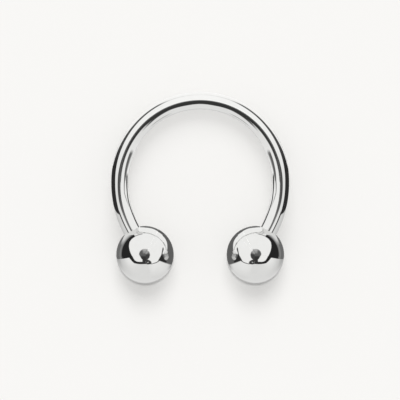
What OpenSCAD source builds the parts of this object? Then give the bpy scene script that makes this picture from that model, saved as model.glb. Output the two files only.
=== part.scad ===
// Horseshoe barbell: a round wire bent into an open ring, with a ball screwed onto each end.
// It lies on its side, as it would by itself: on the two balls and on the top of its bend.
// +X runs from the left ball to the right ball, +Y towards the top of the bend, and +Z is up.
// The origin is on the surface that it lies on, under the middle of its outline.

/* [Bar] */
// Diameter of the wire, 16 gauge
wire_d = 1.2; // [1:0.1:1.4]
// Clear width inside the horseshoe
inner_d = 10; // [9:0.5:12]
// Straight stretch of each side, below the round top
side_straight = 0.15; // [0.05:0.05:1]
// Radius that each side is then tucked inwards on, down to its ball
tuck_r = 7.1; // [6.5:0.1:8]

/* [Balls] */
// Diameter of each ball
ball_d = 4; // [3.5:0.1:4.5]
// Space between the two balls
ball_gap = 3.7; // [3.4:0.1:4]
// Depth of the bevel round the mouth of each ball's hole
mouth_bevel = 0.05; // [0.02:0.01:0.1]

/* [Thread] */
// Diameter over the thread's crests, as a share of the wire's
crest_share = 0.975; // [0.95:0.005:0.985]
// Rise of one turn of the thread
thread_pitch = 0.25; // [0.2:0.05:0.3]
// Depth of the thread's grooves
thread_depth = 0.12; // [0.08:0.01:0.15]
// Length of plain wire inside each ball, down to the thread's shoulder
shoulder_in = 0.15; // [0.1:0.05:0.3]
// How far the bar's tip goes past the middle of the ball
past_centre = 0.5; // [0.3:0.05:0.8]
// Bevel on the bar's tip
tip_bevel = 0.12; // [0.05:0.01:0.15]
// Room all round the wire in the ball's hole
hole_room = 0.02; // [0.01:0.005:0.05]
// Room between the bar's tip and the bottom of the hole
tip_room = 0.05; // [0.02:0.01:0.1]
// Point angle of the drill that made the hole
drill_angle = 118; // [90:1:135]

/* [Hidden] */
$fn = 96;
metal = [0.83, 0.83, 0.82];
LEFT = -1;
RIGHT = 1;
wire_r = wire_d / 2;
crest_r = wire_r * crest_share;
root_r = crest_r - thread_depth;
ball_r = ball_d / 2;
hole_r = wire_r + hole_room;

// Places along a leg, measured from the middle of its ball towards the bend
mouth = sqrt(pow(ball_r, 2) - pow(hole_r, 2));
shoulder = mouth - shoulder_in;
bar_tip = -past_centre;
hole_bottom = bar_tip - tip_room;
turns = floor((shoulder - bar_tip - tip_bevel) / thread_pitch);
first_groove = shoulder - turns * thread_pitch;

// The bend in its own flat plane, measured from the middle of the round top
bend_r = (inner_d + wire_d) / 2;
tuck_x = bend_r - tuck_r;
ball_x = (ball_gap + ball_d) / 2;
tuck_angle = acos((ball_x - tuck_x) / norm([tuck_r, shoulder])) - atan2(shoulder, tuck_r);
ball_y = -side_straight - tuck_r * sin(tuck_angle) - shoulder * cos(tuck_angle);

// Lying down, this plane slopes from the balls to the top of the bend
slope = asin((ball_r - wire_r) / (bend_r - ball_y));
lift = ball_r + ball_y * sin(slope);
outline_front = ball_y * cos(slope) - ball_r;
outline_back = bend_r * cos(slope) + wire_r;
outline_middle = (outline_front + outline_back) / 2;

// Puts what is drawn in the bend's own plane where it lies on the surface
module lie_down() {
    translate([0, -outline_middle, lift])
        rotate([-slope, 0, 0])
            children();
}

// Puts what is drawn for the right side on the side that is asked for
module on_side(side) {
    scale([side, 1, 1])
        children();
}

// Puts what is drawn round +Z at the right ball, with +Z along the leg towards the bend
module on_leg() {
    translate([ball_x, ball_y, 0])
        rotate([0, 0, -tuck_angle])
            rotate([-90, 0, 0])
                children();
}

// A curved piece of wire, anticlockwise from one angle to another
module bent_wire(radius, from, to) {
    rotate_extrude(start = from, angle = to - from)
        translate([radius, 0])
            circle(r = wire_r);
}

// The threaded end: a core that starts inside the wire, a groove for each turn, a bevelled tip
module threaded_end() {
    core_top = shoulder + shoulder_in;
    grooves = [
        for (turn = [0:turns - 1])
            each [
                [crest_r, first_groove + turn * thread_pitch],
                [root_r, first_groove + (turn + 0.5) * thread_pitch]
            ]
    ];
    rotate_extrude()
        polygon(concat(
            [[0, bar_tip], [crest_r - tip_bevel, bar_tip], [crest_r, bar_tip + tip_bevel]],
            grooves,
            [[crest_r, shoulder], [crest_r, core_top], [0, core_top]]
        ));
}

module bar_side() {
    translate([bend_r, 0, 0])
        rotate([90, 0, 0])
            cylinder(r = wire_r, h = side_straight);
    translate([tuck_x, -side_straight, 0])
        bent_wire(tuck_r, -tuck_angle, 0);
    on_leg()
        threaded_end();
}

module bar() {
    color(metal)
        lie_down()
            union() {
                bent_wire(bend_r, 0, 180);
                on_side(LEFT)
                    bar_side();
                on_side(RIGHT)
                    bar_side();
            }
}

// The tapped hole, drawn as wide as the thread's crests so that the ball can be drawn off
module tapped_hole() {
    point_h = hole_r / tan(drill_angle / 2);
    bevel_h = 4 * mouth_bevel;
    translate([0, 0, hole_bottom])
        cylinder(r = hole_r, h = ball_r - hole_bottom);
    translate([0, 0, hole_bottom - point_h])
        cylinder(r1 = 0, r2 = hole_r, h = point_h);
    translate([0, 0, mouth - mouth_bevel])
        cylinder(r1 = hole_r, r2 = hole_r + bevel_h, h = bevel_h);
}

module ball(side) {
    color(metal)
        lie_down()
            on_side(side)
                on_leg()
                    difference() {
                        sphere(r = ball_r);
                        tapped_hole();
                    }
}

bar();
ball(LEFT);  // ball_left
ball(RIGHT);  // ball_right
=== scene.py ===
"""Horseshoe barbell: a polished steel wire bent into an open ring, with a ball screwed onto each end.

It lies on its side on a pale floor. Sizes are in mm, in the bend's own flat plane, and LIE_DOWN takes
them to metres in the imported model's frame.
"""

import math

import bmesh
import bpy
from mathutils import Matrix, Vector


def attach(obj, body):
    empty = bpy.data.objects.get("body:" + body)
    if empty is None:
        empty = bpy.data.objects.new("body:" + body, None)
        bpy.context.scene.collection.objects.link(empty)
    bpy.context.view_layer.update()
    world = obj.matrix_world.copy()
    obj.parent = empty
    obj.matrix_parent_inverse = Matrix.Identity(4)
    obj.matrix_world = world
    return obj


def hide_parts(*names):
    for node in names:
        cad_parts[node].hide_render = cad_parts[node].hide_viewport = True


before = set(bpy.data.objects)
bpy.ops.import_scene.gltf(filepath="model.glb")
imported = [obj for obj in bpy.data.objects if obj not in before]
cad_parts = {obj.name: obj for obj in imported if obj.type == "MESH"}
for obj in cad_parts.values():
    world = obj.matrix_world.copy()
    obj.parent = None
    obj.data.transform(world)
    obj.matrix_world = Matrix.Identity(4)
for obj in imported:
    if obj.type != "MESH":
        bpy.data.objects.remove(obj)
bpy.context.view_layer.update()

MM = 0.001

# Sizes, in mm, as in the part's source

WIRE_R = 0.6
INNER_D = 10
SIDE_STRAIGHT = 0.15
TUCK_R = 7.1
BALL_R = 2.0
BALL_GAP = 3.7
CREST_SHARE = 0.975
THREAD_DEPTH = 0.12
PITCH = 0.25
SHOULDER_IN = 0.15
PAST_CENTRE = 0.5
TIP_BEVEL = 0.12
HOLE_ROOM = 0.02
TIP_ROOM = 0.05
MOUTH_BEVEL = 0.05
DRILL_ANGLE = math.radians(118)

BEND_R = INNER_D / 2 + WIRE_R
BALL_X = BALL_GAP / 2 + BALL_R
CREST_R = CREST_SHARE * WIRE_R
HOLE_R = WIRE_R + HOLE_ROOM

# Places along a leg, from the middle of its ball towards the bend
MOUTH = math.sqrt(BALL_R**2 - HOLE_R**2)
SHOULDER = MOUTH - SHOULDER_IN
BAR_TIP = -PAST_CENTRE
HOLE_BOTTOM = BAR_TIP - TIP_ROOM

# Places in the bend's own flat plane, from the middle of its round top
TUCK_X = BEND_R - TUCK_R
TUCK_ANGLE = math.acos((BALL_X - TUCK_X) / math.hypot(TUCK_R, SHOULDER)) - math.atan2(SHOULDER, TUCK_R)
BALL_Y = -SIDE_STRAIGHT - TUCK_R * math.sin(TUCK_ANGLE) - SHOULDER * math.cos(TUCK_ANGLE)

# How this plane slopes on the floor
SLOPE = math.asin((BALL_R - WIRE_R) / (BEND_R - BALL_Y))
LIFT = BALL_R + BALL_Y * math.sin(SLOPE)
OUTLINE_FRONT = BALL_Y * math.cos(SLOPE) - BALL_R
OUTLINE_BACK = BEND_R * math.cos(SLOPE) + WIRE_R
OUTLINE_MIDDLE = (OUTLINE_FRONT + OUTLINE_BACK) / 2

# From the bend's own flat plane (mm) to where it lies on the floor (m)
LIE_DOWN = (
    Matrix.Scale(MM, 4)
    @ Matrix.Translation((0, -OUTLINE_MIDDLE, LIFT))
    @ Matrix.Rotation(-SLOPE, 4, "X")
)


def on_leg(side):
    """From a leg's own frame, with +Z from its ball's middle towards the bend, to the bend's plane."""
    right = (
        Matrix.Translation((BALL_X, BALL_Y, 0))
        @ Matrix.Rotation(-TUCK_ANGLE, 4, "Z")
        @ Matrix.Rotation(math.radians(-90), 4, "X")
    )
    mirror = Matrix.Diagonal((side, 1, 1, 1))
    return mirror @ right @ mirror  # mirrored twice, so that both threads are right-handed


# Shader maths

AXES = ((1, 0, 0), (0, 1, 0), (0, 0, 1))
IN_DEGREES = 180 / math.pi


class Term:
    """A shader socket that adds and multiplies like a number."""

    def __init__(self, sheet, socket):
        self.sheet = sheet
        self.socket = socket

    def math(self, operation, *others, clamp=False):
        settings = {"operation": operation, "use_clamp": clamp}
        return self.sheet.node("ShaderNodeMath", settings, dict(enumerate((self, *others))))

    def reflected(self, operation, other):
        return self.sheet.node("ShaderNodeMath", {"operation": operation}, {0: other, 1: self})

    def __add__(self, other):
        return self.math("ADD", other)

    def __radd__(self, other):
        return self.reflected("ADD", other)

    def __sub__(self, other):
        return self.math("SUBTRACT", other)

    def __rsub__(self, other):
        return self.reflected("SUBTRACT", other)

    def __mul__(self, other):
        return self.math("MULTIPLY", other)

    def __rmul__(self, other):
        return self.reflected("MULTIPLY", other)

    def __truediv__(self, other):
        return self.math("DIVIDE", other)

    def __rtruediv__(self, other):
        return self.reflected("DIVIDE", other)

    def __neg__(self):
        return self * -1.0

    def __abs__(self):
        return self.math("ABSOLUTE")

    def at_least(self, other):
        return self.math("MAXIMUM", other)

    def at_most(self, other):
        return self.math("MINIMUM", other)

    def above(self, edge, soft):
        """0 below the edge and 1 above it, with a soft step that many units wide."""
        return ((self - edge) / soft + 0.5).math("ADD", 0.0, clamp=True)

    def below(self, edge, soft):
        return 1 - self.above(edge, soft)

    def through(self, points):
        """The line through points (place, value) read at this place, flat beyond both ends."""
        result = points[0][1]
        for (x0, y0), (x1, y1) in zip(points, points[1:]):
            if y1 != y0:
                values = {"Value": self, "From Min": x0, "From Max": x1}
                share = self.sheet.node("ShaderNodeMapRange", {"clamp": True}, values)
                result = share * (y1 - y0) + result
        return result

    def vector(self, operation, *others, output=0):
        values = dict(enumerate((self, *others)))
        return self.sheet.node("ShaderNodeVectorMath", {"operation": operation}, values, output)

    def scaled(self, factors):
        return self.vector("MULTIPLY", factors)

    def dot(self, other):
        return self.vector("DOT_PRODUCT", other, output="Value")

    def along_axes(self):
        return [self.dot(axis) for axis in AXES]


class Sheet:
    """The nodes of one material or of the world."""

    def __init__(self, owner):
        owner.use_nodes = True
        self.tree = owner.node_tree
        self.tree.nodes.clear()

    def node(self, kind, settings=None, values=None, output=0):
        """Adds a node, with its settings set before its sockets' values and links."""
        made = self.tree.nodes.new(kind)
        for name, value in (settings or {}).items():
            setattr(made, name, value)
        for name, value in (values or {}).items():
            if isinstance(value, Term):
                self.tree.links.new(value.socket, made.inputs[name])
            else:
                made.inputs[name].default_value = value
        return Term(self, made.outputs[output]) if made.outputs else None

    def mix(self, share, first, second):
        """One colour where share is 0 and another where it is 1."""
        # a Mix node has its colours in sockets 6 and 7, and gives the mixed one in its output 2
        return self.node("ShaderNodeMix", {"data_type": "RGBA"}, {0: share, 6: first, 7: second}, 2)

    def finish(self, kind, surface):
        self.node(kind, values={"Surface": surface})


def new_material(name):
    material = bpy.data.materials.new(name)
    return material, Sheet(material)


# Finishes: colours, roughness, depths in metres, and how many lines there are to a metre each way

STEEL_DARKER = (0.815, 0.813, 0.805, 1)
STEEL_LIGHTER = (0.845, 0.846, 0.842, 1)
MIRROR_ROUGHNESS = 0.028
HAZE_ROUGHNESS = 0.03
RIPPLE_DEPTH = 0.6e-6
BUFFING_SHARE = 0.012
BUFFING_LINES = (6000.0, 900.0, 40000.0)
CUT_DARKER = (0.70, 0.70, 0.69, 1)
CUT_LIGHTER = (0.80, 0.80, 0.79, 1)
CUT_ROUGHNESS = 0.16
TOOL_ROUGHNESS = 0.14
TOOL_LINE_DEPTH = 1.5e-6
TOOL_LINES = (9000.0, 30000.0, 9000.0)


def noise(place, scale, detail, roughness):
    """Specks, or fine lines where the place is scaled more one way than another."""
    values = {"Vector": place, "Scale": scale, "Detail": detail, "Roughness": roughness}
    return place.sheet.node("ShaderNodeTexNoise", values=values, output="Fac")


def bare_metal(sheet, colour, roughness, height, depth):
    """Metal with a relief: its height goes from 0 to 1, and 1 is as high as the depth."""
    relief = {"Strength": 1.0, "Distance": depth, "Height": height}
    values = {
        "Base Color": colour,
        "Metallic": 1.0,
        "Roughness": roughness,
        "Normal": sheet.node("ShaderNodeBump", values=relief, output="Normal"),
    }
    sheet.finish("ShaderNodeOutputMaterial", sheet.node("ShaderNodeBsdfPrincipled", values=values))


def polished_steel():
    """Mirror-polished surgical steel: buffing lines, a slight ripple and faint haze."""
    material, sheet = new_material("mirror_polished_steel")
    place = sheet.node("ShaderNodeTexCoord", output="Object")
    ripple = noise(place, scale=900.0, detail=2.0, roughness=0.45)
    buffing = noise(place.scaled(BUFFING_LINES), scale=1.0, detail=3.0, roughness=0.6)
    haze = noise(place, scale=2200.0, detail=4.0, roughness=0.55)
    colour = sheet.mix(haze.above(0.5, soft=0.6), STEEL_DARKER, STEEL_LIGHTER)
    roughness = MIRROR_ROUGHNESS + HAZE_ROUGHNESS * haze * buffing
    bare_metal(sheet, colour, roughness, ripple + buffing * BUFFING_SHARE, RIPPLE_DEPTH)
    return material


def cut_steel():
    """Steel as the thread-cutting tools leave it: slightly stained, with fine tool lines."""
    material, sheet = new_material("thread_cut_steel")
    place = sheet.node("ShaderNodeTexCoord", output="Object")
    tool_lines = noise(place.scaled(TOOL_LINES), scale=1.0, detail=3.0, roughness=0.6)
    stain = noise(place, scale=3500.0, detail=3.0, roughness=0.5)
    colour = sheet.mix(stain, CUT_DARKER, CUT_LIGHTER)
    roughness = CUT_ROUGHNESS + TOOL_ROUGHNESS * tool_lines
    bare_metal(sheet, colour, roughness, tool_lines, TOOL_LINE_DEPTH)
    return material


# Every piece lists both finishes in this order
FINISHES = (polished_steel(), cut_steel())
POLISHED, CUT = range(len(FINISHES))

# Mesh tools, with sizes in mm

# One turn of the thread: (share of the pitch, share of the depth)
THREAD_FORM = (
    (0.00, 0.00), (0.06, 0.00), (0.10, 0.07), (0.33, 0.86), (0.38, 0.97),
    (0.50, 1.00), (0.62, 0.97), (0.67, 0.86), (0.90, 0.07), (0.94, 0.00),
)
THREAD_MARGIN = 0.1 * PITCH
HOLE_THREAD_DEPTH = 0.05
FINE_EDGE = 0.012

# How finely the round shapes are divided
BAR_AROUND, TUCK_RINGS, BEND_RINGS = 96, 45, 241
BALL_AROUND, BALL_RINGS = 128, 110
SHARP_ANGLE = math.radians(35)


def put_in_scene(name, data):
    made = bpy.data.objects.new(name, data)
    bpy.context.scene.collection.objects.link(made)
    return made


class Skin:
    """Grows a closed skin out of rings of corners."""

    def __init__(self, around):
        self.bm = bmesh.new()
        self.around = around

    def corner(self, matrix, radius, turn, height):
        angle = math.tau * turn
        at = Vector((radius * math.cos(angle), radius * math.sin(angle), height))
        return self.bm.verts.new(LIE_DOWN @ (matrix @ at))

    def ring(self, matrix, radius, height=0.0):
        return [self.corner(matrix, radius, i / self.around, height) for i in range(self.around)]

    def face(self, *corners, finish=POLISHED):
        made = self.bm.faces.new(corners)
        made.material_index = finish
        made.smooth = True

    def turned(self, matrix, start, line):
        """Polished rings along a line of (radius, height), joined on from a ring that is there already."""
        last = start
        for radius, height in line:
            ring = self.ring(matrix, radius, height)
            for i in range(self.around):
                j = (i + 1) % self.around
                self.face(last[i], last[j], ring[j], ring[i])
            last = ring
        return last

    def cap(self, matrix, ring, height, finish=POLISHED):
        """Closes a ring with a cone, or a flat disc, whose point is at this height."""
        point = self.corner(matrix, 0.0, 0.0, height)
        for i in range(self.around):
            self.face(ring[i], ring[(i + 1) % self.around], point, finish=finish)

    def thread(self, matrix, first, last, low, high, radius_at):
        """A helical thread from ring first, at height low, up to ring last, at height high."""
        per_turn = len(THREAD_FORM)
        turns = (high - low - 2 * THREAD_MARGIN) / PITCH - 1
        rows = max(
            row + 1
            for row in range(per_turn * math.ceil(turns))
            if row // per_turn + THREAD_FORM[row % per_turn][0] <= turns
        )
        grid = {}

        def at(row, column):
            # a full turn round, a row is where the same row of the next turn starts
            if column == self.around:
                row, column = row + per_turn, 0
            if (row, column) not in grid:
                turn = column / self.around
                share, depth = THREAD_FORM[row % per_turn]
                height = low + THREAD_MARGIN + (row // per_turn + share + turn) * PITCH
                grid[row, column] = self.corner(matrix, radius_at(depth, height), turn, height)
            return grid[row, column]

        top = rows - 1
        for i in range(self.around):
            j = (i + 1) % self.around
            # where the helix starts and ends, its step is closed with one turn's rows
            step_below = [at(row, 0) for row in range(per_turn)] if j == 0 else []
            step_above = [at(top + row, 0) for row in range(per_turn, 0, -1)] if i == 0 else []
            for row in range(top):
                self.face(at(row, i), at(row, i + 1), at(row + 1, i + 1), at(row + 1, i), finish=CUT)
            self.face(first[i], first[j], *step_below, at(0, i + 1), at(0, i), finish=CUT)
            self.face(at(top, i), at(top, i + 1), last[j], last[i], *step_above, finish=CUT)

    def piece(self, name):
        bmesh.ops.recalc_face_normals(self.bm, faces=self.bm.faces)
        mesh = bpy.data.meshes.new(name)
        self.bm.to_mesh(mesh)
        self.bm.free()
        for material in FINISHES:
            mesh.materials.append(material)
        mesh.set_sharp_from_angle(angle=SHARP_ANGLE)
        return put_in_scene(name, mesh)


# The bar


def clockwise_arc(middle_x, middle_y, radius, start, end, count):
    """Frames along the wire, with +X away from the arc's middle and +Z on along the wire."""
    for i in range(count):
        turn = start + (end - start) * i / (count - 1)
        cosine, sine = math.cos(turn), math.sin(turn)
        rows = (
            (cosine, 0, sine, middle_x + radius * cosine),
            (sine, 0, -cosine, middle_y + radius * sine),
            (0, 1, 0, 0),
            (0, 0, 0, 1),
        )
        yield Matrix(rows)


def build_bar():
    """The wire with its two threads, from the left tip round the bend to the right tip."""
    skin = Skin(BAR_AROUND)
    half = math.pi
    left_end, *between, right_end = (
        *clockwise_arc(-TUCK_X, -SIDE_STRAIGHT, TUCK_R, half + TUCK_ANGLE, half, TUCK_RINGS),
        *clockwise_arc(0, 0, BEND_R, half, 0, BEND_RINGS),
        *clockwise_arc(TUCK_X, -SIDE_STRAIGHT, TUCK_R, 0, -TUCK_ANGLE, TUCK_RINGS),
    )
    reach = SHOULDER - BAR_TIP
    tip_r = CREST_R - TIP_BEVEL

    def thread_r(depth, from_tip):
        return min(CREST_R - THREAD_DEPTH * depth, tip_r + from_tip)

    # the left end, from its tip up to its shoulder
    tip = skin.ring(left_end, tip_r, -reach)
    skin.cap(left_end, tip, -reach, finish=CUT)
    neck = skin.ring(left_end, CREST_R)
    skin.thread(left_end, tip, neck, -reach, 0.0, lambda depth, height: thread_r(depth, height + reach))
    last = skin.turned(left_end, neck, [(WIRE_R - FINE_EDGE, 0.0), (WIRE_R, FINE_EDGE)])

    for station in between:
        last = skin.turned(station, last, [(WIRE_R, 0.0)])

    # the right end, from its shoulder down to its tip
    shoulder = [(WIRE_R, -FINE_EDGE), (WIRE_R - FINE_EDGE, 0.0), (CREST_R, 0.0)]
    neck = skin.turned(right_end, last, shoulder)
    tip = skin.ring(right_end, tip_r, reach)
    skin.thread(right_end, neck, tip, 0.0, reach, lambda depth, height: thread_r(depth, reach - height))
    skin.cap(right_end, tip, reach, finish=CUT)
    return skin.piece("bar_polished")


# The balls


def build_ball(side, name):
    """A ball whose tapped hole faces along its leg, on the left where side is -1, on the right where 1."""
    skin = Skin(BALL_AROUND)
    leg = on_leg(side)
    bevel_low = MOUTH - MOUTH_BEVEL

    # the 45 degree bevel at the mouth is this wide where it meets the ball
    total = HOLE_R + bevel_low
    wide = (math.sqrt(total**2 - 2 * (HOLE_R**2 + bevel_low**2 - BALL_R**2)) - total) / 2

    # the outside, from the far side up to the bevel
    farthest, rim = math.pi, math.asin((HOLE_R + wide) / BALL_R)
    outside = []
    for i in range(1, BALL_RINGS + 1):
        turn = farthest + (rim - farthest) * i / BALL_RINGS
        outside.append((BALL_R * math.sin(turn), BALL_R * math.cos(turn)))
    first = skin.ring(leg, *outside[0])
    skin.cap(leg, first, -BALL_R)
    mouth = skin.turned(leg, first, [*outside[1:], (HOLE_R, bevel_low)])

    def groove_r(depth, height):
        # the grooves run out over the last turn at both ends
        run_out = min(1, (bevel_low - height) / PITCH, (height - HOLE_BOTTOM) / PITCH)
        return HOLE_R + HOLE_THREAD_DEPTH * depth * run_out

    # the tapped hole and the drill's cone under it
    bottom = skin.ring(leg, HOLE_R, HOLE_BOTTOM)
    skin.thread(leg, bottom, mouth, HOLE_BOTTOM, bevel_low, groove_r)
    skin.cap(leg, bottom, HOLE_BOTTOM - HOLE_R / math.tan(DRILL_ANGLE / 2), finish=CUT)
    return skin.piece(name)


bar = build_bar()
left_ball = build_ball(-1, "ball_left_polished")
right_ball = build_ball(1, "ball_right_polished")
for piece, body in ((bar, "bar"), (left_ball, "ball_left"), (right_ball, "ball_right")):
    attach(piece, body)
    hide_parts(body)

BALLS = (left_ball, right_ball)

# Floor, studio and camera

# Polished steel shows its surroundings, so the studio is painted for it: the world by direction,
# and cards by place, in the bend's own plane and mm. x is measured to either side, y up the picture
# and z towards the camera. A tone is a share of white paper. Only reflections show any of it.

# The bend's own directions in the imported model's frame: to the right, up the picture, to the camera
SIDEWAYS = (1.0, 0.0, 0.0)
UPWARDS = (0.0, math.cos(SLOPE), -math.sin(SLOPE))
TOWARDS = (0.0, math.sin(SLOPE), math.cos(SLOPE))

# The floor, in metres, what the camera sees behind it, and white as the sky and as the metal shows it
FLOOR_HALF = 1.5
FLOOR_PAPER = (0.80, 0.793, 0.778, 1)
PAPER_BEHIND = (0.94116, 0.93, 0.91884, 1)
WHITE = (1, 1, 1, 1)
MIRRORED_WHITE = (1, 1, 0.99)

# The share of its glow that a mirrored thing loses where the metal throws it on the floor
LESS_ON_FLOOR = 0.3

# What falls on the floor, as a share of white: the sky, a wide window and a small lamp that
# the balls shade, and a low soft light that the bar shades
SKY, WINDOW, LAMP, LOW_LIGHT = 0.475, 0.235, 0.27, 0.20

# The middle card's edges, and where on it each ball would mirror the middle of the other
CARD_FRONT, CARD_BACK, CARD_LOW, CARD_HIGH = -30, 0.8, -16, 50
OTHER_BALL_Y, OTHER_BALL_Z = -5.25, 0.98

# The post and the collar: radius, height and number of sides, and how far apart their two skins are
POST_R, POST_LOW, POST_HIGH, POST_SIDES = 0.9, -12, 50, 96
COLLAR_R, COLLAR_LOW, COLLAR_HIGH, COLLAR_SIDES = 9.0, -8, 40, 360
COLLAR_LOWEST = -40
APART = 0.01

# Where the wire's inner side mirrors the post, from the middle of the bend and above its plane
INNER_SIDE, INNER_SIDE_Z = 5.3, 0.5

# The camera's distance and the place in the bend's plane that it looks at, and the photo's scale
CAMERA_DISTANCE = 200.0
VIEW_X, VIEW_Y = -0.014, -1.325
PHOTO_PIXELS, PIXELS_PER_MM = 400, 14.34


def pale_floor():
    mesh = bpy.data.meshes.new("pale_floor")
    half = FLOOR_HALF
    corners = [(-half, -half, 0), (half, -half, 0), (half, half, 0), (-half, half, 0)]
    mesh.from_pydata(corners, [], [(0, 1, 2, 3)])
    material, sheet = new_material("pale_paper")
    surface = sheet.node("ShaderNodeBsdfDiffuse", values={"Color": FLOOR_PAPER})
    sheet.finish("ShaderNodeOutputMaterial", surface)
    mesh.materials.append(material)
    floor = put_in_scene("pale_floor", mesh)
    floor.visible_glossy = False


def glow(sheet, tone):
    """A mirrored tone as a colour, lower where only the floor meets it, so that the metal has no halo."""
    from_floor = sheet.node("ShaderNodeLightPath", output="Diffuse Depth").at_most(1)
    values = {"Vector": MIRRORED_WHITE, "Scale": tone * (1 - LESS_ON_FLOOR * from_floor)}
    return sheet.node("ShaderNodeVectorMath", {"operation": "SCALE"}, values)


def painted(tone, share, paint):
    """The tone with another over it, where share is 1."""
    return tone + share * (paint - tone)


def seen_twice(place):
    """1 in the reflection of a reflection, else 0."""
    bounces = place.sheet.node("ShaderNodeLightPath", output="Glossy Depth")
    return bounces.math("GREATER_THAN", 1.5)


def rise_of(x, y):
    """Degrees above the sideways line, the same on the left and on the right."""
    return y.math("ARCTAN2", x) * IN_DEGREES


def angle_of(front):
    """Degrees away from the camera's direction, of which front is the cosine."""
    return front.math("ARCCOSINE") * IN_DEGREES


def seen_from_ball(x, y, z):
    """The direction (side, up, front) in which the nearer ball mirrors a place."""
    places = {0: x - BALL_X, 1: y - BALL_Y, 2: z}
    offset = x.sheet.node("ShaderNodeCombineXYZ", values=places)
    direction = offset.vector("NORMALIZE")
    # the spot that mirrors it faces half way between this and the camera, and two rounds are enough
    for _ in range(2):
        facing = direction.vector("ADD", (0, 0, 1)).vector("NORMALIZE")
        direction = offset.vector("SUBTRACT", facing.scaled((BALL_R, BALL_R, BALL_R)))
        direction = direction.vector("NORMALIZE")
    side, up, front = direction.along_axes()
    return abs(side), up, front


def room_tone(side, up, front):
    """How bright the studio is in a direction: a tent, a table, dark sides and the camera's lens."""
    angle = angle_of(front)
    rise = rise_of(side, up)

    # the far side of the room, with a lighter strip next to the black one
    streak = abs(angle - 117).below(5, soft=8) * 0.1
    light_until = rise.through([(25, 134), (35, 142), (45, 168), (60, 146)])
    light = rise.above(28, soft=14) * angle.above(118, soft=18) * angle.below(light_until, soft=6)
    tone = 0.17 + streak + light * 0.6

    # the black strip, the tent in front of it, and the strip's tip
    black_edge = rise.through([(-13, 104), (17, 107), (60, 105)])
    tone = painted(tone, angle.below(black_edge, soft=3.0), paint=0.022)
    tent_edge = rise.through(
        [(-90, 29), (-70, 29.5), (-60, 31.7), (-50, 36.5), (-40, 41.6), (-30, 45.7), (-20, 47.5),
         (-10, 49.6), (0, 53.4), (10, 59.8), (20, 68.2), (30, 77.9), (40, 86.8), (50, 90.5),
         (61, 90.5), (62.5, 165)]
    )
    tone = painted(tone, angle.below(tent_edge, soft=2.0), paint=1.0)
    tip = abs(angle - 95).below(4, soft=6) * rise.above(61, soft=1) * rise.below(64.5, soft=5)
    tone = painted(tone, tip, paint=0.4)

    # the lens: a disc with its two lower sides cut off, on a stem, and lighter towards its top
    disc_up = up - 0.03
    disc = (side * side + disc_up * disc_up).math("SQRT").below(0.38, soft=0.04)
    disc = disc * (side - 0.57 * up).below(0.37, soft=0.04) * front.above(0, soft=0.1)
    stem = side.below(0.16, soft=0.04) * up.below(0, soft=0.05) * front.above(0.5, soft=0.1)
    lens_tone = 0.04 + 0.09 * up.above(-0.08, soft=0.12)
    lens_tone = lens_tone + 0.22 * up.above(0.12, soft=0.12) * side.below(0.12, soft=0.1)
    lens_tone = lens_tone + 0.15 * up.above(0.28, soft=0.12) * side.below(0.25, soft=0.1)
    tone = painted(tone, disc.at_least(stem), paint=lens_tone)

    # the table, under two slanting edges and not past its ends
    edge = (1.33 * -up - 0.173 * side).at_least(0.714 * -up + 0.312 * side)
    table = (edge - front).above(0, soft=0.02) * (5.3 * -up - side).above(0, soft=0.03)
    table_tone = 0.82 + 0.5 * side * side * side * front
    shaded = (up + 0.7 * side).above(0.1, soft=0.4) * front.below(-0.6, soft=0.4)
    table_tone = (table_tone - 0.3 * shaded) * (0.75 + 0.25 * front.above(-0.9, soft=0.06))
    return painted(tone, table, paint=table_tone)


def group_of(name, pieces):
    group = bpy.data.collections.new(name)
    for piece in pieces:
        group.objects.link(piece)
    return group


def reflected_card(name, corners, faces, paint, seen_by=(), opening=None, clear=False):
    """A glowing card that only the metal's reflections show.

    Only the pieces in seen_by mirror its glow, or all if there are none. Paint gives its tone at a place,
    and opening how far it is open there. A clear card adds its glow to what is behind it.
    """
    mesh = bpy.data.meshes.new(name)
    mesh.from_pydata(corners, [], faces)
    card = put_in_scene(name, mesh)
    card.matrix_world = LIE_DOWN
    card.visible_camera = card.visible_diffuse = card.visible_shadow = False
    card.visible_transmission = card.visible_volume_scatter = False
    if seen_by:
        card.light_linking.receiver_collection = group_of(name, seen_by)

    material, sheet = new_material(name)
    material.cycles.emission_sampling = "NONE"
    x, y, z = sheet.node("ShaderNodeTexCoord", output="Object").along_axes()
    tone = paint(abs(x), y, z)
    surface = sheet.node("ShaderNodeEmission", values={"Color": glow(sheet, tone)})
    if clear:
        behind = sheet.node("ShaderNodeBsdfTransparent")
        surface = sheet.node("ShaderNodeAddShader", values={0: surface, 1: behind})
    if opening:
        behind = sheet.node("ShaderNodeBsdfTransparent")
        surface = sheet.node("ShaderNodeMixShader", values={0: opening(y, z), 1: surface, 2: behind})
    sheet.finish("ShaderNodeOutputMaterial", surface)
    mesh.materials.append(material)


def round_wall(radius, low_at, high, sides):
    """Corners and faces of a round wall about the bend's middle, from low_at(rise) up to high."""
    corners, faces = [], []
    for i in range(sides):
        turn = math.tau * i / sides
        x, y = radius * math.cos(turn), radius * math.sin(turn)
        rise = math.degrees(math.atan2(y, abs(x)))
        corners += [(x, y, low_at(rise)), (x, y, high)]
    for i in range(sides):
        j = (i + 1) % sides
        if all(corners[2 * k][2] < high for k in (i, j)):
            faces.append((2 * i, 2 * j, 2 * j + 1, 2 * i + 1))
    return corners, faces


# The middle card, between the two halves, for the inner sides of the balls


def table_edge_on_card(z):
    return z.through(
        [(2.9, -6.7), (4.15, -7.98), (5.7, -9.13), (6.4, -9.87), (9.7, -12.2), (12.1, -14.4),
         (18.85, -19.5), (31, -28)]
    )


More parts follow.
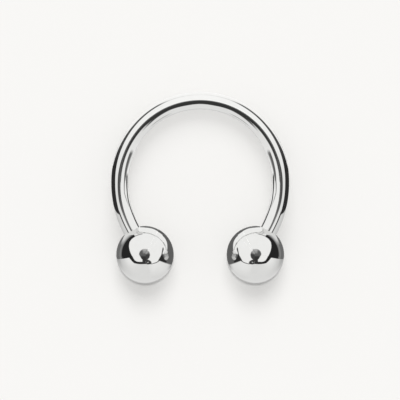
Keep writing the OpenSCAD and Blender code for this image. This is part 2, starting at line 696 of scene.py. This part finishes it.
def room_on_card(y, z):
    """White paper, the dark room below it, and a black wedge with a dark stretch that joins it on."""
    shade_edge = z.through(
        [(-4.6, 1.3), (-3.83, 0.58), (-2.53, -0.54), (-1.75, -1.9), (-0.85, -2.9), (0.1, -3.73),
         (0.68, -4.45), (0.96, -4.79), (1.2, -4.9)]
    )
    shade = y.below(shade_edge, soft=0.3) * z.below(1.2, soft=0.3)
    tone = painted(1.0, shade, paint=0.13)
    stretch = y.below(-4.98, soft=0.2) * z.below(2.35, soft=0.2) * z.above(1.2, soft=0.3)
    tone = painted(tone, stretch, paint=0.17)
    wedge_high = y.through(
        [(-6.55, 3.45), (-5.8, 3.09), (-5.13, 2.63), (-4.45, 2.34), (-3.73, 1.91), (-3.4, 1.65)]
    )
    wedge_low = y.through(
        [(-6.27, 0.57), (-6.01, 1.36), (-5.82, 1.72), (-5.5, 1.99), (-5.13, 2.2), (-4.7, 2.15),
         (-4.3, 1.85), (-4, 1.6), (-3.4, 1.45)]
    )
    wedge = z.below(wedge_high, soft=0.2) * z.above(wedge_low, soft=0.2) * y.below(-3.6, soft=0.3)
    return painted(tone, wedge, paint=0.03)


def lens_on_card(tone, y, z):
    """The dark line along the table, the foot of the lens's stand, the lens, and a glint on the foot."""
    line_wide = y.through([(-23, 2.0), (-15.7, 1.0), (-9, 0.4)])
    line = y.below(table_edge_on_card(z) + line_wide, soft=0.2) * z.above(2.9, soft=0.6)
    foot_top = y.through(
        [(-14, 50), (-12.8, 30), (-12, 23), (-11.2, 18.5), (-10.5, 15.8), (-9.9, 13.7), (-9.5, 11.3),
         (-9.2, 10)]
    )
    foot = y.below(-9.2, soft=0.8) * z.below(foot_top, soft=1.0) * z.above(7.6, soft=1.6)
    tone = painted(tone, line.at_least(foot), paint=0.05)

    # the lens's round edge, lighter towards the middle of the bend
    lens_edge = y.through(
        [(-14, 25.6), (-12, 21), (-9, 14.9), (-7.35, 12.3), (-5.13, 10.8), (-2.9, 12.3), (-1.28, 14.8),
         (0.7, 18.8)]
    )
    lens_tone = y.through([(-5, 0.06), (-4.2, 0.10), (-2.9, 0.25), (-1.5, 0.42)])
    tone = painted(tone, z.above(lens_edge, soft=1.5), paint=lens_tone)
    glint_at = y.through([(-19, 23.6), (-14.7, 16.9), (-12.4, 13.8)])
    glint = abs(z - glint_at).below(1.0, soft=1.2) * abs(y + 14.7).below(2, soft=3)
    return painted(tone, glint, paint=0.65)


def table_on_card(tone, y, z):
    """The table, lighter towards the camera, and darker behind the balls."""
    lighter = z.through([(-3, -0.04), (-0.8, 0.02), (1.2, 0.07), (4.3, 0.13)])
    table_tone = 0.82 + lighter * y.through([(-20, 0), (-8, 1)])
    table_tone = table_tone - 0.4 * z.below(-2.5, soft=4) * y.above(-7.5, soft=1)
    return painted(tone, y.below(table_edge_on_card(z), soft=0.2), paint=table_tone)


def patch_on_card(y, z):
    """A plain grey patch, a painted reflection of the other ball, over the upper part of its opening."""
    return abs(y + 5.22).below(0.26, soft=0.08) * abs(z - 1.0).below(0.65, soft=0.2)


def middle_paint(_, y, z):
    """All that is on the card, each thing painted over the ones before it."""
    tone = lens_on_card(room_on_card(y, z), y, z)
    tone = table_on_card(tone, y, z)
    # a painted reflection of the other ball, in place of its mirror image through the opening
    return painted(tone, patch_on_card(y, z), paint=y.through([(-5.4, 0.5), (-5.1, 0.37)]))


def middle_opening(y, z):
    """Open where one half sees the other's ball, and in a slot where it sees the other's wire."""
    off_y, off_z = y - OTHER_BALL_Y, z - OTHER_BALL_Z
    ball = (off_y * off_y + off_z * off_z).math("SQRT").below(0.85, soft=0.15) * 0.8
    slot_middle = y.through([(-4.4, 0.85), (0, 0.45), (6, 0.2)])
    slot = abs(z - slot_middle).below(0.2, soft=0.1) * y.above(-4.4, soft=0.2)
    return ball.at_least(slot) * (1 - patch_on_card(y, z))


def middle_card():
    front = [(0, CARD_FRONT, CARD_LOW), (0, CARD_FRONT, CARD_HIGH)]
    back = [(0, CARD_BACK, CARD_HIGH), (0, CARD_BACK, CARD_LOW)]
    reflected_card("middle_card", front + back, [(0, 1, 2, 3)], middle_paint, opening=middle_opening)


# The paper post, thin and in the middle of the bend, for the inner side of the wire


def post_for_bar(x, y, z):
    """The dark band, the wedge and the thin lines on the wire's inner side."""
    rise = rise_of(x, y)
    # how far across the wire it is mirrored, from 0 along its middle to 1 at its edge
    across = ((z - INNER_SIDE_Z).reflected("ARCTAN2", INNER_SIDE - POST_R) * 0.5).math("SINE")
    tone = rise.through([(-10, 1.0), (20, 0.97), (40, 0.86)])
    # greyer along the wire's edge, near the top of the bend
    tone = tone - across.above(0.92, soft=0.1) * rise.above(40, soft=20) * 0.14

    # the dark band along the middle of the wire, and the spur that leaves it
    band_edge = rise.through(
        [(-60, 0.07), (-45, 0.04), (-23, 0.04), (-9, 0.06), (5, 0.10), (10, 0.16), (20, 0.22),
         (35, 0.28), (44, 0.29), (52, 0.33), (60, 0.36), (65, 0.37), (72, 0.40), (80, 0.44), (90, 0.39)]
    )
    band_tone = rise.through([(-67, 0.26), (-51, 0.13), (-30, 0.09), (10, 0.08), (30, 0.04)])
    tone = painted(tone, across.below(band_edge, soft=0.05), paint=band_tone)
    spur_at = rise.through([(40, 0.48), (50, 0.42), (62, 0.34)])
    spur = abs(across - spur_at).below(0.07, soft=0.04)
    spur = spur * rise.above(46, soft=8) * rise.below(66, soft=4)
    tone = painted(tone, spur, paint=0.05)

    # the wedge, and the two thin lines that go on from it
    wedge_low = rise.through([(-45, 0.68), (-37, 0.57), (-23, 0.44), (0, 0.49), (25, 0.53)])
    wedge_high = rise.through(
        [(-45, 0.75), (-37, 0.68), (-23, 0.51), (0, 0.62), (7, 0.74), (15, 0.82), (24, 0.86)]
    )
    wedge_soft = rise.through([(7, 0.06), (15, 0.16)])
    wedge = across.above(wedge_low, soft=0.03) * across.below(wedge_high, soft=wedge_soft)
    wedge = wedge * rise.below(25, soft=3) * rise.above(-48, soft=6)
    wedge_tone = rise.through([(-37, 0.6), (-23, 0.12), (0, 0.18), (7, 0.14)])
    tone = painted(tone, wedge, paint=wedge_tone)
    line_at = rise.through([(-84, 0.93), (-67, 0.91), (-51, 0.86), (-37, 0.81), (0, 0.82)])
    line_wide = rise.through([(-37, 0.06), (-23, 0.055), (-5, 0.08)])
    line = abs(across - line_at).below(line_wide, soft=0.03) * rise.below(7, soft=3)
    tone = painted(tone, line, paint=0.08)
    streak = abs(across - 0.8).below(0.03, soft=0.03)
    streak = streak * rise.above(50, soft=6) * rise.below(66, soft=6)
    tone = painted(tone, streak, paint=0.35)
    return painted(tone, seen_twice(x), paint=0.85)


def post_for_balls(x, y, z):
    """What the post hides from the balls: the tent, the far side, the lens and the bend's grey line."""
    side, up, front = seen_from_ball(x, y, z)
    angle = angle_of(front)
    tone = painted(1.0, angle.above(134, soft=4), paint=0.12)
    bend_at = rise_of(side, up).through([(44, 96), (51, 99.5), (62, 98.5)])
    tone = tone - 0.33 * abs(angle - bend_at).below(2.5, soft=3)
    return painted(tone, angle.below(21.5, soft=3), paint=0.42)


def paper_post():
    def low_at(_):
        return POST_LOW

    # the bar's post is black to the balls, so a clear skin outside it glows for them alone
    corners, faces = round_wall(POST_R, low_at, POST_HIGH, POST_SIDES)
    reflected_card("paper_post", corners, faces, post_for_bar, seen_by=(bar,))
    corners, faces = round_wall(POST_R + APART, low_at, POST_HIGH, POST_SIDES)
    reflected_card("post_for_balls", corners, faces, post_for_balls, seen_by=BALLS, clear=True)


# The paper collar, round the ring, for the outer side of the wire


def collar_for_bar(x, y, z):
    """The dark band, the black band and the table on the wire's outer side."""
    rise = rise_of(x, y)
    tone = rise.through([(-30, 0.95), (-15, 0.87), (0, 0.9), (20, 0.98), (40, 1.04), (80, 1.1)])

    # the dark band along the middle of the wire
    band_from = rise.through(
        [(-35, 16), (-30, 13), (-24, 9.5), (-18, 7.0), (-12.6, 5.8), (-6.8, 5.9), (-1, 6.45),
         (5, 7.5), (10, 9.4), (15, 11.9), (20, 17.8), (30, 23), (60, 28), (90, 32)]
    )
    band_tone = rise.through([(-24, 0.26), (-18, 0.13), (-10, 0.09), (10, 0.08), (20, 0.04)])
    tone = painted(tone, z.above(band_from, soft=1.0), paint=band_tone)

    # the black band, which thins to a line towards the top of the bend
    upper = rise.through(
        [(-18, 2.07), (-13, 1.96), (25, 2.0), (30, 1.9), (35, 1.8), (40, 1.7), (50, 1.45),
         (60, 1.22), (70, 0.95)]
    )
    lower = rise.through(
        [(7, -9), (11, -3.4), (15, -2.3), (20, -1.6), (25, -0.95), (30, -0.6), (40, -0.2),
         (60, -0.07), (70, 0.4)]
    )
    end = z.through([(-6, -15), (-2, -18), (-0.5, -19.6), (2, -21.5)])
    edge_soft = rise.through([(30, 0.1), (50, 0.4)])
    black = z.below(upper, soft=edge_soft) * z.above(lower, soft=edge_soft)
    black = black * rise.above(end, soft=1) * rise.through([(62, 1), (69, 0.3), (90, 0.08)])
    black_tone = rise.through([(12, 0.03), (25, 0.075), (40, 0.09)])
    tone = painted(tone, black, paint=black_tone)

    # the table past the black band's end, and the dark line above it
    line_at = rise.through([(-35, 3.05), (-30, 2.85), (-24.2, 2.42), (-20.7, 2.1)])
    table = rise.below(end, soft=1) * z.below(line_at, soft=0.1)
    tone = painted(tone, table, paint=z.through([(-2, 0.62), (0.5, 0.75)]))
    line = abs(z - line_at).below(0.65, soft=0.25) * rise.below(-19, soft=2)
    tone = painted(tone, line, paint=0.05)
    twice = 0.95 - 0.75 * z.below(2.5, soft=2) * rise.below(63, soft=4) * rise.above(36, soft=6)
    return painted(tone, seen_twice(x), paint=twice)


def collar_for_balls(x, y, z):
    """The room behind the collar, the dark rim near the leg, and a thin grey line on from the black tip."""
    side, up, front = seen_from_ball(x, y, z)
    angle = angle_of(front)
    rim_from = x.through([(BALL_X, 141), (4.7, 144), (5.5, 147), (6.3, 151), (6.8, 175)])
    rim = angle.above(rim_from, soft=4) * y.above(0, soft=1)
    tone = painted(room_tone(side, up, front), rim, paint=0.14)
    thin_line = abs(angle - 93.5).below(2.5, soft=3) * rise_of(side, up).above(64, soft=4)
    return painted(tone, thin_line * x.above(BALL_X + 1.5, soft=1), paint=0.35)


def paper_collar():
    def low_at(rise):
        # no wall below the balls, and a deeper one round the top of the bend
        if rise < -37.5:
            return COLLAR_HIGH
        return COLLAR_LOW if rise < 35.5 else COLLAR_LOWEST

    # the bar's collar is black to the balls, so a clear skin inside it glows for them alone
    corners, faces = round_wall(COLLAR_R, low_at, COLLAR_HIGH, COLLAR_SIDES)
    reflected_card("paper_collar", corners, faces, collar_for_bar, seen_by=(bar,))
    corners, faces = round_wall(COLLAR_R - APART, low_at, COLLAR_HIGH, COLLAR_SIDES)
    reflected_card("collar_for_balls", corners, faces, collar_for_balls, seen_by=BALLS, clear=True)


# World, lights and camera


def studio():
    """Pale all round to the floor and the camera, and the painted room in reflections."""
    world = bpy.data.worlds.new("studio")
    bpy.context.scene.world = world
    world.cycles.sampling_method = "NONE"
    sheet = Sheet(world)
    place = sheet.node("ShaderNodeTexCoord", output="Generated")
    tone = room_tone(abs(place.dot(SIDEWAYS)), place.dot(UPWARDS), place.dot(TOWARDS))

    seen = sheet.node("ShaderNodeBackground", values={"Color": PAPER_BEHIND})
    lit = sheet.node("ShaderNodeBackground", values={"Color": WHITE, "Strength": SKY})
    mirrored = sheet.node("ShaderNodeBackground", values={"Color": glow(sheet, tone)})
    glossy_ray = sheet.node("ShaderNodeLightPath", output="Is Glossy Ray")
    camera_ray = sheet.node("ShaderNodeLightPath", output="Is Camera Ray")
    surface = sheet.node("ShaderNodeMixShader", values={0: glossy_ray, 1: lit, 2: mirrored})
    surface = sheet.node("ShaderNodeMixShader", values={0: camera_ray, 1: surface, 2: seen})
    sheet.finish("ShaderNodeOutputWorld", surface)


def sun(name, share, elevation, size, shaded_by):
    """A distant light on the far side of the bend. Only the pieces in shaded_by throw its shadow."""
    lamp = bpy.data.lights.new(name, "SUN")
    lamp.energy = share * math.pi / math.sin(math.radians(elevation))
    lamp.angle = math.radians(size)
    stand = put_in_scene(name, lamp)
    stand.rotation_euler = (math.radians(elevation - 90), 0, 0)
    stand.visible_glossy = False
    stand.light_linking.blocker_collection = group_of(name, shaded_by)


def photo_camera():
    """Square onto the bend's plane, with the photo's frame."""
    camera = bpy.data.cameras.new("camera")
    camera.lens = camera.sensor_width * CAMERA_DISTANCE / (PHOTO_PIXELS / PIXELS_PER_MM)
    camera.clip_start = 0.01
    camera.clip_end = 10
    stand = put_in_scene("camera", camera)
    place = LIE_DOWN @ Vector((VIEW_X, VIEW_Y, CAMERA_DISTANCE))
    rows = list(zip(SIDEWAYS, UPWARDS, TOWARDS, place))
    stand.matrix_world = Matrix([*rows, (0, 0, 0, 1)])
    bpy.context.scene.camera = stand


bpy.context.scene.view_settings.view_transform = "Standard"
pale_floor()
middle_card()
paper_post()
paper_collar()
studio()
sun("window", WINDOW, elevation=55, size=24, shaded_by=BALLS)
sun("lamp", LAMP, elevation=77.3, size=3, shaded_by=BALLS)
sun("low_light", LOW_LIGHT, elevation=36, size=34, shaded_by=(bar,))
photo_camera()
